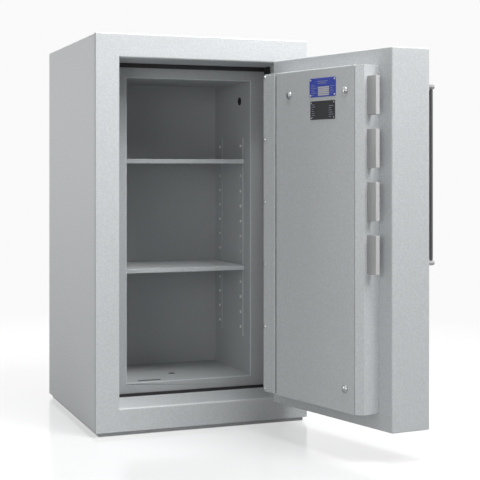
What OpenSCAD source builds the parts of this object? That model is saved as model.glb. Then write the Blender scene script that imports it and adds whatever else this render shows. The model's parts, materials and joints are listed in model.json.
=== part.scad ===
// Free-standing fire and burglary safe with an inset door on outside hinges.
// Lengths are in millimetres. X runs to the right, Y to the back and Z up.
// The origin is the centre of the floor anchor's bore, on the floor.
// Door pieces are drawn in the closed position and swung open about the hinge pins.

/* [Cabinet] */
// Overall width of the cabinet
cab_w = 685; // [560:5:850]
// Overall height of the cabinet
cab_h = 1200; // [980:10:1450]
// Overall depth of the cabinet
cab_d = 655; // [540:5:800]
// Thickness of the outer steel sheet
casing_t = 4; // [2:0.5:6]
// Radius of the folded top edges
casing_r = 6; // [4:0.5:10]
// Height of the recessed plinth
plinth_h = 12; // [8:1:20]
// How far the plinth stands back from the casing
plinth_inset = 10; // [4:1:25]
// Thickness of the bottom plate above the plinth
base_t = 4; // [3:0.5:8]

/* [Door frame] */
// Width of the frame beside and above the door
stile_w = 73; // [55:1:95]
// Height of the frame below the door
sill_h = 70; // [55:1:95]
// Thickness of the frame's plate
frame_t = 5; // [3:0.5:8]
// Depth of the frame's returns around the door
jamb_depth = 160; // [150:1:180]
// Depth of the black channel behind the returns
channel_depth = 32; // [26:1:45]
// How far the channel reaches behind the frame
channel_reach = 28; // [24:1:32]
// Thickness of the channel's sheet
channel_t = 3; // [2:0.5:4]

/* [Cavity] */
// Thickness of the wall beside the cavity on the lock side
wall_lock = 147; // [130:1:160]
// Thickness of the wall beside the cavity on the hinge side
wall_hinge = 113; // [100:1:130]
// Height of the cavity's floor above the ground
floor_h = 116; // [105:1:135]
// Thickness of the wall above the cavity
wall_top = 115; // [105:1:135]
// Thickness of the wall behind the cavity
wall_back = 127; // [100:1:150]
// Thickness of the inner liner's sheet
liner_t = 2; // [1.5:0.5:3]
// Width of the flange around the cavity's mouth on the hinge side
flange_w_hinge = 50; // [40:1:55]
// Width of the flange around the cavity's mouth on the lock side
flange_w_lock = 50; // [40:1:60]
// Width of the flange above and below the cavity's mouth
flange_w_ends = 31; // [24:1:34]

/* [Shelves] */
// Thickness of the shelves' sheet
shelf_t = 2; // [1.5:0.5:3]
// Height of the shelves' folded front and back edges
shelf_fold = 14; // [12:1:25]
// How far the shelves stand back from the mouth
shelf_setback = 50; // [20:5:80]
// Gap between the shelves and the back wall
shelf_back_gap = 12; // [5:1:30]
// Slot that holds the lower shelf, counted from the bottom
lower_slot = 4; // [1:1:7]
// Slot that holds the upper shelf, counted from the bottom
upper_slot = 11; // [8:1:12]
// Number of slots in a rail
slot_count = 13; // [13:1:15]
// Distance between slots
slot_pitch = 50.5; // [40:0.5:55]
// Height of a slot
slot_h = 7; // [6:0.5:10]
// Width of a slot
slot_w = 10; // [8:0.5:14]
// Width of a rail
rail_w = 32; // [26:1:45]
// Thickness of a rail
rail_t = 2.5; // [2:0.5:4]
// Height of the lowest slot above the cavity's floor
first_slot = 151; // [100:1:180]

/* [Door] */
// Thickness of the door slab
door_t = 120; // [100:1:125]
// Gap around the door
door_gap = 4; // [3:0.5:6]
// Thickness of the door's front plate
front_t = 6; // [4:0.5:10]
// Thickness of the door's edge sheet and back plate
edge_t = 4; // [2:0.5:6]
// Width of the straight edge next to the front plate's face
edge_land = 15; // [10:1:25]
// How much the lock-side edge tapers towards the inside
edge_taper = 21; // [18:1:35]
// Angle of the open door
open_angle = 105; // [90:1:120]

/* [Hinges] */
// Radius of the hinge knuckles
knuckle_r = 13; // [11:0.5:18]
// Height of one hinge knuckle
knuckle_h = 46; // [35:1:60]
// Radius of the hinge pins
pin_r = 7; // [5:0.5:9]
// Distance from the door opening to the hinge pins
pin_offset = 38; // [30:1:45]
// Distance from the door's ends to the middle of each hinge
hinge_inset = 165; // [120:5:250]
// Thickness of the bearing washers
washer_t = 2; // [1:0.5:4]
// Radial clearance of pins and shafts that turn
run_fit = 0.05; // [0.02:0.01:0.1]

/* [Bolt work] */
// Depth of the bolt box on the back of the door
box_d = 70; // [66:1:75]
// Thickness of the bolt box's sheet
box_t = 3; // [2:0.5:4]
// Margin between the door's edge and the box on the lock side
box_margin_lock = 50; // [40:1:60]
// Margin between the door's edge and the box on the hinge side
box_margin_hinge = 44; // [35:1:60]
// Margin between the door's ends and the box
box_margin_ends = 47; // [35:1:70]
// Width of the riveted strip on the hinge side of the box
strip_w = 54; // [45:1:70]
// Number of bolts
bolt_count = 4; // [2:1:4]
// Height of one bolt
bolt_h = 105; // [80:1:115]
// Thickness of the bolts
bolt_t = 14; // [12:1:18]
// Distance between bolts
bolt_pitch = 143; // [135:1:160]
// How far drawn-back bolts stand out of the box
bolt_proud = 33; // [25:1:38]
// How far the bolts travel
bolt_throw = 60; // [55:1:65]
// Height of the bolt group's centre above the middle of the door
bolt_centre_up = 174; // [100:1:190]
// Sliding clearance of bolts, blocks and covers
slide_fit = 0.3; // [0.2:0.05:0.6]
// Module of the rack and pinion
gear_m = 4; // [3:0.5:4]
// Number of teeth on the pinion
gear_teeth = 19; // [17:1:21]
// Radius of the handle's spindle
spindle_r = 8; // [6:0.5:10]

/* [Fittings] */
// Length of the pull bar
pull_len = 502; // [300:2:700]
// Distance from the door's face to the pull bar's outer side
pull_stand = 57; // [45:1:70]
// Thickness of the pull bar
pull_t = 12; // [10:1:16]
// Distance from the door's edge to the pull bar
pull_edge = 42; // [35:1:60]
// Length of the turning handle
lever_len = 130; // [90:5:170]
// Width of the upper rating plate
plate_w = 111; // [80:1:130]
// Height of the upper rating plate
plate_h = 53; // [40:1:60]
// Inside radius of the floor anchor's sleeve
anchor_r = 8; // [6:0.5:12]
// Wall of the floor anchor's sleeve
anchor_wall = 4; // [3:0.5:6]

/* [Hidden] */
$fn = 64;
eps = 0.01;

// Cabinet and door opening, measured from the cabinet's front left corner
open_l = stile_w;
open_r = cab_w - stile_w;
open_b = plinth_h + sill_h;
open_t = cab_h - stile_w;
inner_top = cab_h - casing_t;
inner_bottom = plinth_h + base_t;
back_y = cab_d - casing_t;

// Black channel behind the frame
mouth_y = jamb_depth + channel_depth;
flange_y = mouth_y + channel_t;
chan_l = open_l - frame_t - channel_reach;
chan_r = open_r + frame_t + channel_reach;
chan_rise = 7;
chan_b = open_b - frame_t - chan_rise;
chan_t = open_t + frame_t + chan_rise;

// Cavity
cav_l = wall_lock;
cav_r = cab_w - wall_hinge;
cav_b = floor_h;
cav_t = cab_h - wall_top;
cav_back = cab_d - wall_back;

// Shelf rails and shelves
rail_front_y = mouth_y + 67;
rail_rear_y = cav_back - 73;
rail_end = 29;
rail_b = cav_b + first_slot - rail_end;
rail_top = cav_b + first_slot + (slot_count - 1) * slot_pitch + rail_end;
clip_w = slot_w - 2 * slide_fit;
clip_h = slot_h - 2 * slide_fit;
clip_reach = 14;
shelf_y0 = mouth_y + shelf_setback;
shelf_y1 = cav_back - shelf_back_gap;
shelf_lip = 10;
function slot_z(i) = cav_b + first_slot + i * slot_pitch;
function shelf_z(i) = slot_z(i) + clip_h / 2;

// Cable hole in the cavity's wall on the hinge side
grommet_r = 9.5;
grommet_rim = 4;
grommet_y = mouth_y + 100;
grommet_z = cav_t - 62;

// Door slab
slab_l = open_l + door_gap - 1;
slab_r = open_r - door_gap + 1;
slab_b = open_b + door_gap;
slab_top = open_t - door_gap;
slab_inner_l = slab_l + edge_taper;
slab_mid = (slab_b + slab_top) / 2;

// Hinges
pin_x = open_r + pin_offset;
pin_y = -knuckle_r;
hinge_zs = [slab_b + hinge_inset, slab_top - hinge_inset];
leaf_t = 10;
leaf_gap = 2;
leaf_reach = 50;
pin_head_r = pin_r + 2;
pin_head_h = 4;

// Bolt box
box_l = slab_inner_l + box_margin_lock;
box_r = slab_r - box_margin_hinge;
box_b = slab_b + box_margin_ends;
box_top = slab_top - box_margin_ends;
box_face = door_t + box_d;
box_chamfer_x = 19;
box_chamfer_y = 16;
lid_l = box_l + box_chamfer_x + 2;
strip_l = box_r - strip_w;

// Bolts and their drive
bolt_z0 = slab_mid + bolt_centre_up;
bolt_y = door_t + 29;
bolt_tip = box_l - bolt_proud;
bolt_tail = box_l + 100;
pocket_gap = 2;
pocket_l = bolt_tip - bolt_throw - 2 * pocket_gap;
carrier_t = 8;
carrier_y = bolt_y - carrier_t;
carrier_w = 30;
carrier_l = bolt_tail - carrier_w;
carrier_end = 12;
group_h = (bolt_count - 1) * bolt_pitch + bolt_h;
function bolt_z(i) = bolt_z0 + (i - (bolt_count - 1) / 2) * bolt_pitch;
gear_r = gear_m * gear_teeth / 2;
gear_x = box_l + 186;
gear_w = 10;
gear_backlash = 1.1;
rack_body = 13;
rack_z = bolt_z0 - gear_r;
rack_root = rack_z - 1.25 * gear_m;
rack_r = gear_x + bolt_throw + 30;
rack_pitch = PI * gear_m;

// Key lock
lock_w = 80;
lock_h = 60;
lock_l = gear_x - 48;
lock_z = rack_root - rack_body - 122;
lock_d = 20;
key_x = lock_l + 56;
key_z = lock_z + lock_h / 2;
key_r = 6;
cam_hub_r = 9;
cam_tip_r = 6;
cam_reach = 17;
cam_tip_x = key_x - cam_reach + cam_tip_r;
cam_y = carrier_y + 0.5;
lug_side = 13;
lug_l = key_x + lug_side;
lug_w = bolt_throw - 2 * lug_side - 1;
lug_b = key_z + 12;

// Fittings
pull_x = slab_l + pull_edge;
post_r = 7;
plate_t = 1.2;
dome_r = 12;
screws = [[lid_l + 39, box_top - 68], [strip_l - 65, box_top - 68], [lid_l + 39, box_b + 64]];
plate_x = lid_l + 131;
plate_top = box_top - 27;
plate_low_w = plate_w - 7;
plate_low_h = plate_h - 1;
plate_space = 11;
anchor_x = cab_w / 2;
anchor_y = cab_d / 2;
anchor_out = anchor_r + anchor_wall;

painted = [0.78, 0.80, 0.81];
dark = [0.12, 0.12, 0.13];
concrete = [0.62, 0.61, 0.58];
steel = [0.72, 0.73, 0.74];

// ---- Placing and shared shapes ----

// A box from its lowest to its highest corner
module block(low, high) {
    translate(low) cube(high - low);
}

// Puts a cabinet piece in the part's frame
module fixed() {
    translate([-cab_w / 2, -cab_d / 2, 0]) children();
}

// Swings a door piece, drawn closed, to the open position
module hung() {
    fixed()
        translate([pin_x, pin_y, 0])
            rotate([0, 0, open_angle])
                translate([-pin_x, -pin_y, 0])
                    children();
}

// A round bar along Y
module rod_y(x, y0, y1, z, r) {
    translate([x, y0, z]) rotate([-90, 0, 0]) cylinder(r = r, h = y1 - y0);
}

// A flat frame in the XZ plane with a rectangular hole
module ring_plate(outer_low, outer_high, hole_low, hole_high) {
    difference() {
        block(outer_low, outer_high);
        block([hole_low[0], outer_low[1] - eps, hole_low[1]], [hole_high[0], outer_high[1] + eps, hole_high[1]]);
    }
}

// A low dome on a disc, facing +Y
module dome_y(x, y, z, r, rise) {
    sphere_r = (r * r + rise * rise) / (2 * rise);
    translate([x, y, z])
        rotate([-90, 0, 0])
            rotate_extrude()
                intersection() {
                    translate([0, rise - sphere_r]) circle(r = sphere_r, $fn = 96);
                    square([r, rise]);
                }
}

// ---- Cabinet ----

module casing_outline() {
    union() {
        translate([0, plinth_h]) square([cab_w, cab_h - plinth_h - casing_r]);
        translate([casing_r, plinth_h]) square([cab_w - 2 * casing_r, cab_h - plinth_h]);
        for (x = [casing_r, cab_w - casing_r])
            translate([x, cab_h - casing_r]) circle(r = casing_r);
    }
}

module outer_casing() {
    color(painted) fixed()
        translate([0, cab_d, 0])
            rotate([90, 0, 0])
                linear_extrude(height = cab_d)
                    difference() {
                        casing_outline();
                        translate([casing_t, 0]) square([cab_w - 2 * casing_t, inner_top]);
                    }
}

module back_plate() {
    color(painted) fixed()
        block([casing_t, back_y, plinth_h], [cab_w - casing_t, cab_d, inner_top]);
}

module base_plate() {
    color(painted) fixed()
        difference() {
            block([casing_t, frame_t, plinth_h], [cab_w - casing_t, back_y, inner_bottom]);
            translate([anchor_x, anchor_y, 0]) cylinder(r = anchor_out, h = cab_h);
        }
}

module plinth() {
    color(dark) fixed()
        difference() {
            block([plinth_inset, plinth_inset, 0], [cab_w - plinth_inset, cab_d - plinth_inset, plinth_h]);
            translate([anchor_x, anchor_y, -eps]) cylinder(r = anchor_out, h = cab_h);
        }
}

module door_frame() {
    color(painted) fixed()
        difference() {
            union() {
                block([casing_t, 0, plinth_h], [cab_w - casing_t, frame_t, inner_top]);
                block([open_l - frame_t, 0, open_b - frame_t], [open_r + frame_t, jamb_depth, open_t + frame_t]);
            }
            block([open_l, -eps, open_b], [open_r, jamb_depth + eps, open_t]);
            for (i = [0 : bolt_count - 1])
                block([open_l - frame_t - eps, bolt_y - pocket_gap, bolt_z(i) - bolt_h / 2 - pocket_gap],
                      [open_l + eps, jamb_depth + eps, bolt_z(i) + bolt_h / 2 + pocket_gap]);
        }
}

module fill_left() {
    color(concrete) fixed()
        difference() {
            union() {
                block([casing_t, frame_t, inner_bottom], [open_l - frame_t, jamb_depth, inner_top]);
                block([casing_t, jamb_depth, inner_bottom], [chan_l, flange_y, inner_top]);
                block([casing_t, flange_y, inner_bottom], [cav_l - liner_t, back_y, inner_top]);
            }
            for (i = [0 : bolt_count - 1])
                block([pocket_l, bolt_y - pocket_gap, bolt_z(i) - bolt_h / 2 - pocket_gap],
                      [open_l, jamb_depth + eps, bolt_z(i) + bolt_h / 2 + pocket_gap]);
        }
}

module fill_right() {
    grommet_len = 40;
    color(concrete) fixed()
        difference() {
            union() {
                block([open_r + frame_t, frame_t, inner_bottom], [cab_w - casing_t, jamb_depth, inner_top]);
                block([chan_r, jamb_depth, inner_bottom], [cab_w - casing_t, flange_y, inner_top]);
                block([cav_r + liner_t, flange_y, inner_bottom], [cab_w - casing_t, back_y, inner_top]);
            }
            translate([cav_r, grommet_y, grommet_z])
                rotate([0, 90, 0])
                    cylinder(r = grommet_r, h = grommet_len);
        }
}

module fill_top() {
    color(concrete) fixed() {
        block([open_l - frame_t, frame_t, open_t + frame_t], [open_r + frame_t, jamb_depth, inner_top]);
        block([chan_l, jamb_depth, chan_t], [chan_r, flange_y, inner_top]);
        block([cav_l - liner_t, flange_y, cav_t + liner_t], [cav_r + liner_t, back_y, inner_top]);
    }
}

module fill_bottom() {
    color(concrete) fixed()
        difference() {
            union() {
                block([open_l - frame_t, frame_t, inner_bottom], [open_r + frame_t, jamb_depth, open_b - frame_t]);
                block([chan_l, jamb_depth, inner_bottom], [chan_r, flange_y, chan_b]);
                block([cav_l - liner_t, flange_y, inner_bottom], [cav_r + liner_t, back_y, cav_b - liner_t]);
            }
            translate([anchor_x, anchor_y, 0]) cylinder(r = anchor_out, h = cab_h);
        }
}

module fill_back() {
    color(concrete) fixed()
        block([cav_l - liner_t, cav_back + liner_t, cav_b - liner_t], [cav_r + liner_t, back_y, cav_t + liner_t]);
}

module inner_liner() {
    color(painted) fixed()
        difference() {
            block([cav_l - liner_t, flange_y, cav_b - liner_t],
                  [cav_r + liner_t, cav_back + liner_t, cav_t + liner_t]);
            block([cav_l, flange_y - eps, cav_b], [cav_r, cav_back, cav_t]);
            translate([anchor_x, anchor_y, 0]) cylinder(r = anchor_out, h = cab_h / 2);
            translate([cav_r - eps, grommet_y, grommet_z]) rotate([0, 90, 0]) cylinder(r = grommet_r, h = 5);
        }
}

module mouth_flange() {
    color(painted) fixed()
        ring_plate([cav_l - flange_w_lock, mouth_y, cav_b - flange_w_ends],
                   [cav_r + flange_w_hinge, flange_y, cav_t + flange_w_ends],
                   [cav_l, cav_b], [cav_r, cav_t]);
}

module locking_channel() {
    color(dark) fixed()
        difference() {
            block([chan_l, jamb_depth, chan_b], [chan_r, flange_y, chan_t]);
            block([chan_l + channel_t, jamb_depth - eps, chan_b + channel_t],
                  [chan_r - channel_t, mouth_y, chan_t - channel_t]);
            block([cav_l - flange_w_lock, jamb_depth, cav_b - flange_w_ends],
                  [cav_r + flange_w_hinge, flange_y + eps, cav_t + flange_w_ends]);
        }
}

module hinge_seal() {
    seal_t = 7;
    color(dark) fixed()
        block([open_r - seal_t, door_t + 2, open_b], [open_r, jamb_depth, open_t]);
}

module anchor_sleeve() {
    color(steel) fixed()
        translate([anchor_x, anchor_y, 0])
            difference() {
                cylinder(r = anchor_out, h = cav_b);
                translate([0, 0, -eps]) cylinder(r = anchor_r, h = cav_b + 2 * eps);
            }
}

// One slotted rail, drawn with its wall side at X = 0 and its room side at +X
module rail() {
    difference() {
        block([0, 0, rail_b], [rail_t, rail_w, rail_top]);
        for (i = [0 : slot_count - 1])
            block([-eps, (rail_w - slot_w) / 2, slot_z(i) - slot_h / 2],
                  [rail_t + eps, (rail_w + slot_w) / 2, slot_z(i) + slot_h / 2]);
    }
}

module rail_left(y) {
    color(painted) fixed() translate([cav_l, y, 0]) rail();
}

module rail_right(y) {
    color(painted) fixed() translate([cav_r - rail_t, y, 0]) rail();
}

// A shelf sheet with its front and back edges folded down and under
module shelf(i) {
    side_gap = rail_t + 0.5;
    color(painted) fixed()
        translate([cav_l + side_gap, 0, 0])
            rotate([90, 0, 90])
                linear_extrude(height = cav_r - cav_l - 2 * side_gap)
                    polygon([
                        [shelf_y0, shelf_z(i) + shelf_t],
                        [shelf_y1, shelf_z(i) + shelf_t],
                        [shelf_y1, shelf_z(i) + shelf_t - shelf_fold],
                        [shelf_y1 - shelf_t, shelf_z(i) + shelf_t - shelf_fold],
                        [shelf_y1 - shelf_t, shelf_z(i)],
                        [shelf_y0 + shelf_t, shelf_z(i)],
                        [shelf_y0 + shelf_t, shelf_z(i) + 2 * shelf_t - shelf_fold],
                        [shelf_y0 + shelf_lip, shelf_z(i) + 2 * shelf_t - shelf_fold],
                        [shelf_y0 + shelf_lip, shelf_z(i) + shelf_t - shelf_fold],
                        [shelf_y0, shelf_z(i) + shelf_t - shelf_fold]
                    ]);
}

module shelf_clips() {
    color(steel) fixed()
        for (i = [lower_slot, upper_slot], y = [rail_front_y, rail_rear_y]) {
            clip_y = y + (rail_w - clip_w) / 2;
            block([cav_l, clip_y, slot_z(i) - clip_h / 2], [cav_l + clip_reach, clip_y + clip_w, slot_z(i) + clip_h / 2]);
            block([cav_r - clip_reach, clip_y, slot_z(i) - clip_h / 2], [cav_r, clip_y + clip_w, slot_z(i) + clip_h / 2]);
        }
}

module cable_grommet() {
    lip_t = 1.5;
    tube_len = 30;
    color(dark) fixed()
        translate([cav_r, grommet_y, grommet_z])
            rotate([0, 90, 0])
                difference() {
                    union() {
                        translate([0, 0, -lip_t]) cylinder(r = grommet_r + grommet_rim, h = lip_t);
                        cylinder(r = grommet_r, h = tube_len);
                    }
                    translate([0, 0, -lip_t - eps]) cylinder(r = grommet_r - 2, h = tube_len);
                }
}

// ---- Hinges ----

module frame_knuckles() {
    weld_w = 26;
    color(painted) fixed()
        for (z = hinge_zs)
            translate([pin_x, pin_y, z - knuckle_h - washer_t / 2])
                difference() {
                    union() {
                        cylinder(r = knuckle_r, h = knuckle_h);
                        block([0, 0, 0], [weld_w, knuckle_r, knuckle_h]);
                    }
                    translate([0, 0, -eps]) cylinder(r = pin_r, h = knuckle_h + 2 * eps);
                }
}

module hinge_pins() {
    color(steel) fixed()
        for (z = hinge_zs)
            translate([pin_x, pin_y, z - knuckle_h - washer_t / 2]) {
                cylinder(r = pin_r, h = 2 * knuckle_h + washer_t + slide_fit);
                translate([0, 0, 2 * knuckle_h + washer_t + slide_fit]) cylinder(r = pin_head_r, h = pin_head_h);
            }
}

module hinge_washers() {
    color(steel) fixed()
        for (z = hinge_zs)
            translate([pin_x, pin_y, z - washer_t / 2])
                difference() {
                    cylinder(r = knuckle_r - 1, h = washer_t - slide_fit);
                    translate([0, 0, -eps]) cylinder(r = pin_r + run_fit, h = washer_t);
                }
}

module door_knuckles() {
    color(painted) hung()
        for (z = hinge_zs)
            translate([pin_x, pin_y, z + washer_t / 2])
                difference() {
                    union() {
                        cylinder(r = knuckle_r, h = knuckle_h);
                        block([slab_r - leaf_reach - pin_x, knuckle_r - leaf_gap - leaf_t, 0],
                              [0, knuckle_r - leaf_gap, knuckle_h]);
                        block([slab_r - leaf_reach - pin_x, knuckle_r - leaf_gap - leaf_t, 0],
                              [slab_r - 3 - pin_x, knuckle_r, knuckle_h]);
                    }
                    translate([0, 0, -eps]) cylinder(r = pin_r + run_fit, h = knuckle_h + 2 * eps);
                }
}

// ---- Door slab ----

// The slab's plan outline: a straight land by the face, then a taper on the lock side
module slab_plan(t, y0, y1) {
    polygon([
        [slab_l + t, y0],
        [slab_l + t, edge_land],
        [slab_inner_l + t - edge_taper * (door_t - y1) / (door_t - edge_land), y1],
        [slab_r - t, y1],
        [slab_r - t, y0]
    ]);
}

module door_skin() {
    color(painted) hung()
        difference() {
            translate([0, 0, slab_b]) linear_extrude(height = slab_top - slab_b) slab_plan(0, 0, door_t);
            translate([0, 0, slab_b + edge_t])
                linear_extrude(height = slab_top - slab_b - 2 * edge_t)
                    slab_plan(edge_t, front_t, door_t + eps);
            rod_y(gear_x, -1, door_t, bolt_z0, spindle_r + 4);
            rod_y(key_x, -1, door_t, key_z, key_r + run_fit);
        }
}

module door_fill() {
    color(concrete) hung()
        difference() {
            translate([0, 0, slab_b + edge_t])
                linear_extrude(height = slab_top - slab_b - 2 * edge_t)
                    slab_plan(edge_t, front_t, door_t - edge_t);
            rod_y(gear_x, 0, door_t, bolt_z0, spindle_r + 2);
            rod_y(key_x, 0, door_t, key_z, key_r + 1);
        }
}

module door_back_plate() {
    color(painted) hung()
        difference() {
            block([slab_inner_l + edge_t, door_t - edge_t, slab_b + edge_t],
                  [slab_r - edge_t, door_t, slab_top - edge_t]);
            rod_y(gear_x, 0, door_t + 1, bolt_z0, spindle_r + 2);
            rod_y(key_x, 0, door_t + 1, key_z, key_r + 1);
        }
}

// ---- Bolt box ----

module bolt_box_frame() {
    color(painted) hung()
        difference() {
            union() {
                translate([0, 0, box_b])
                    linear_extrude(height = box_top - box_b)
                        polygon([
                            [box_l, door_t],
                            [box_l, box_face - box_chamfer_y],
                            [box_l + box_chamfer_x, box_face],
                            [lid_l - slide_fit, box_face],
                            [lid_l - slide_fit, box_face - box_t],
                            [box_l + box_chamfer_x + 1, box_face - box_t],
                            [box_l + box_t, box_face - box_chamfer_y - 1.4],
                            [box_l + box_t, door_t]
                        ]);
                for (z = [box_b, box_top - box_t])
                    block([box_l + box_t - eps, door_t, z], [box_r, box_face - box_chamfer_y, z + box_t]);
                for (z = [box_b, box_top - box_t])
                    block([lid_l, door_t, z], [box_r, box_face - box_t, z + box_t]);
                block([box_r - box_t, door_t, box_b], [box_r, box_face - box_t, box_top]);
            }
            for (i = [0 : bolt_count - 1])
                block([box_l - 1, bolt_y - slide_fit, bolt_z(i) - bolt_h / 2 - slide_fit],
                      [box_l + box_t + 1, bolt_y + bolt_t + slide_fit, bolt_z(i) + bolt_h / 2 + slide_fit]);
        }
}

module bolt_box_lid() {
    color(painted) hung()
        difference() {
            block([lid_l, box_face - box_t, box_b], [strip_l - slide_fit, box_face, box_top]);
            for (s = screws) rod_y(s[0], box_face - 10, box_face + 1, s[1], 4);
        }
}

module hinge_side_strip() {
    color(painted) hung()
        block([strip_l, box_face - box_t, box_b + 4], [box_r, box_face - 1, box_top - 4]);
}

module strip_rivets() {
    rivet_count = 6;
    rivet_end = 10;
    color(steel) hung()
        for (i = [0 : rivet_count - 1])
            dome_y(box_r - 7, box_face - 1, box_b + rivet_end + i * (box_top - box_b - 2 * rivet_end) / (rivet_count - 1), 4, 1.6);
}

module lid_screws() {
    color(steel) hung()
        for (s = screws) {
            dome_y(s[0], box_face, s[1], dome_r, 6);
            rod_y(s[0], box_face - 18, box_face + 1, s[1], 4 - slide_fit);
        }
}

module rounded_plate(x, z_top, w, h, r) {
    translate([x, box_face + plate_t, z_top - h])
        rotate([90, 0, 0])
            linear_extrude(height = plate_t)
                union() {
                    translate([r, 0]) square([w - 2 * r, h]);
                    translate([0, r]) square([w, h - 2 * r]);
                    for (px = [r, w - r], pz = [r, h - r]) translate([px, pz]) circle(r = r);
                }
}

module rating_plate_upper() {
    color([0.13, 0.2, 0.65]) hung()
        rounded_plate(plate_x - plate_w / 2, plate_top, plate_w, plate_h, 5);
}

module rating_plate_lower() {
    color([0.25, 0.26, 0.27]) hung()
        rounded_plate(plate_x - plate_low_w / 2, plate_top - plate_h - plate_space, plate_low_w, plate_low_h, 1);
}

module plate_rivets() {
    inset = 5;
    color(steel) hung()
        for (s = [-1, 1]) {
            for (z = [plate_top - inset, plate_top - plate_h + inset])
                dome_y(plate_x + s * (plate_w / 2 - inset), box_face + plate_t, z, 2, 1);
            for (z = [inset, plate_low_h - inset])
                dome_y(plate_x + s * (plate_low_w / 2 - inset), box_face + plate_t,
                       plate_top - plate_h - plate_space - z, 2, 1);
        }
}

// ---- Bolt work ----

module locking_bolts() {
    color(steel) hung()
        for (i = [0 : bolt_count - 1])
            block([bolt_tip, bolt_y, bolt_z(i) - bolt_h / 2], [bolt_tail, bolt_y + bolt_t, bolt_z(i) + bolt_h / 2]);
}

module bolt_carrier() {
    color(steel) hung()
        union() {
            block([carrier_l, carrier_y, bolt_z0 - group_h / 2 - carrier_end],
                  [bolt_tail, bolt_y, bolt_z0 + group_h / 2 + carrier_end]);
            block([bolt_tail - 5, carrier_y, rack_root - rack_body], [rack_r, bolt_y, rack_root]);
            block([lug_l, carrier_y, lug_b], [lug_l + lug_w, bolt_y, rack_root]);
        }
}

module bolt_screws() {
    color(steel) hung()
        for (i = [0 : bolt_count - 1], s = [-1, 1])
            dome_y(bolt_tail - 18, bolt_y + bolt_t, bolt_z(i) + s * bolt_h / 4, 7, 3);
}

module bolt_rack() {
    half = rack_pitch / 4 - gear_backlash / 2;
    flank = gear_m * tan(20);
    tooth_low = ceil((bolt_tail + 12 - gear_x) / rack_pitch);
    tooth_high = floor((rack_r - gear_x - half - 2) / rack_pitch);
    color(steel) hung()
        translate([0, bolt_y + gear_w, 0])
            rotate([90, 0, 0])
                linear_extrude(height = gear_w)
                    union() {
                        translate([bolt_tail + slide_fit, rack_root - rack_body])
                            square([rack_r - bolt_tail - slide_fit, rack_body]);
                        for (k = [tooth_low : tooth_high])
                            translate([gear_x + k * rack_pitch, rack_z])
                                polygon([
                                    [-half - flank * 1.25, -1.25 * gear_m],
                                    [half + flank * 1.25, -1.25 * gear_m],
                                    [half - flank * 0.9, 0.9 * gear_m],
                                    [-half + flank * 0.9, 0.9 * gear_m]
                                ]);
                    }
}

module drive_pinion() {
    half_angle = 90 / gear_teeth - gear_backlash / gear_r * 90 / PI;
    root_r = gear_r - 1.25 * gear_m;
    tip_r = gear_r + 0.9 * gear_m;
    root_half = half_angle * 1.45;
    tip_half = half_angle * 0.5;
    color(steel) hung()
        translate([gear_x, bolt_y + gear_w, bolt_z0])
            rotate([90, 0, 0])
                linear_extrude(height = gear_w)
                    difference() {
                        union() {
                            circle(r = root_r);
                            for (k = [0 : gear_teeth - 1])
                                rotate(360 / gear_teeth * (k + 0.5) - 90)
                                    polygon([
                                        [(root_r - 1) * cos(root_half), -(root_r - 1) * sin(root_half)],
                                        [gear_r * cos(half_angle), -gear_r * sin(half_angle)],
                                        [tip_r * cos(tip_half), -tip_r * sin(tip_half)],
                                        [tip_r * cos(tip_half), tip_r * sin(tip_half)],
                                        [gear_r * cos(half_angle), gear_r * sin(half_angle)],
                                        [(root_r - 1) * cos(root_half), (root_r - 1) * sin(root_half)]
                                    ]);
                        }
                        circle(r = spindle_r);
                    }
}

module handle_spindle() {
    color(steel) hung()
        rod_y(gear_x, -40, bolt_y + gear_w + 6, bolt_z0, spindle_r);
}

module spindle_bush() {
    color([0.75, 0.62, 0.3]) hung()
        difference() {
            rod_y(gear_x, 0, front_t, bolt_z0, spindle_r + 4);
            rod_y(gear_x, -1, front_t + 1, bolt_z0, spindle_r + run_fit);
        }
}

module handle_rose() {
    color(steel) hung()
        difference() {
            rod_y(gear_x, -5, 0, bolt_z0, 30);
            rod_y(gear_x, -6, 1, bolt_z0, spindle_r + 1);
        }
}

module handle_lever() {
    grip_w = 18;
    grip_t = 14;
    hub_r = 16;
    color(dark) hung()
        difference() {
            union() {
                rod_y(gear_x, -45, -6, bolt_z0, hub_r);
                block([gear_x, -45, bolt_z0 - grip_w / 2], [gear_x + lever_len, -45 + grip_t, bolt_z0 + grip_w / 2]);
                rod_y(gear_x + lever_len, -45, -45 + grip_t, bolt_z0, grip_w / 2);
            }
            rod_y(gear_x, -40, 0, bolt_z0, spindle_r);
        }
}

module guide_blocks() {
    block_h = 30;
    color([0.75, 0.62, 0.3]) hung()
        for (z = [bolt_z0 - group_h / 2 + 10, bolt_z0 + group_h / 2 - 10 - block_h])
            block([carrier_l - 15, door_t, z], [bolt_tail + 20, carrier_y - slide_fit, z + block_h]);
}

module lock_case() {
    color(steel) hung()
        difference() {
            block([lock_l, door_t, lock_z], [lock_l + lock_w, door_t + lock_d, lock_z + lock_h]);
            rod_y(key_x, door_t - 1, door_t + lock_d + 1, key_z, key_r + run_fit);
        }
}

// The cam lies towards the lock edge when unlocked, and a quarter turn raises it beside the carrier's lug.
module lock_cam() {
    color([0.75, 0.62, 0.3]) hung()
        difference() {
            union() {
                rod_y(key_x, cam_y, bolt_y, key_z, cam_hub_r);
                block([cam_tip_x, cam_y, key_z - cam_tip_r], [key_x, bolt_y, key_z + cam_tip_r]);
                rod_y(cam_tip_x, cam_y, bolt_y, key_z, cam_tip_r);
            }
            rod_y(key_x, cam_y - 1, bolt_y + 1, key_z, key_r);
        }
}

module key_core() {
    slot = 2;
    color(steel) hung()
        difference() {
            rod_y(key_x, -6, bolt_y, key_z, key_r);
            block([key_x - slot / 2, -7, key_z - key_r / 2], [key_x + slot / 2, 8, key_z + key_r / 2]);
        }
}

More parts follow.
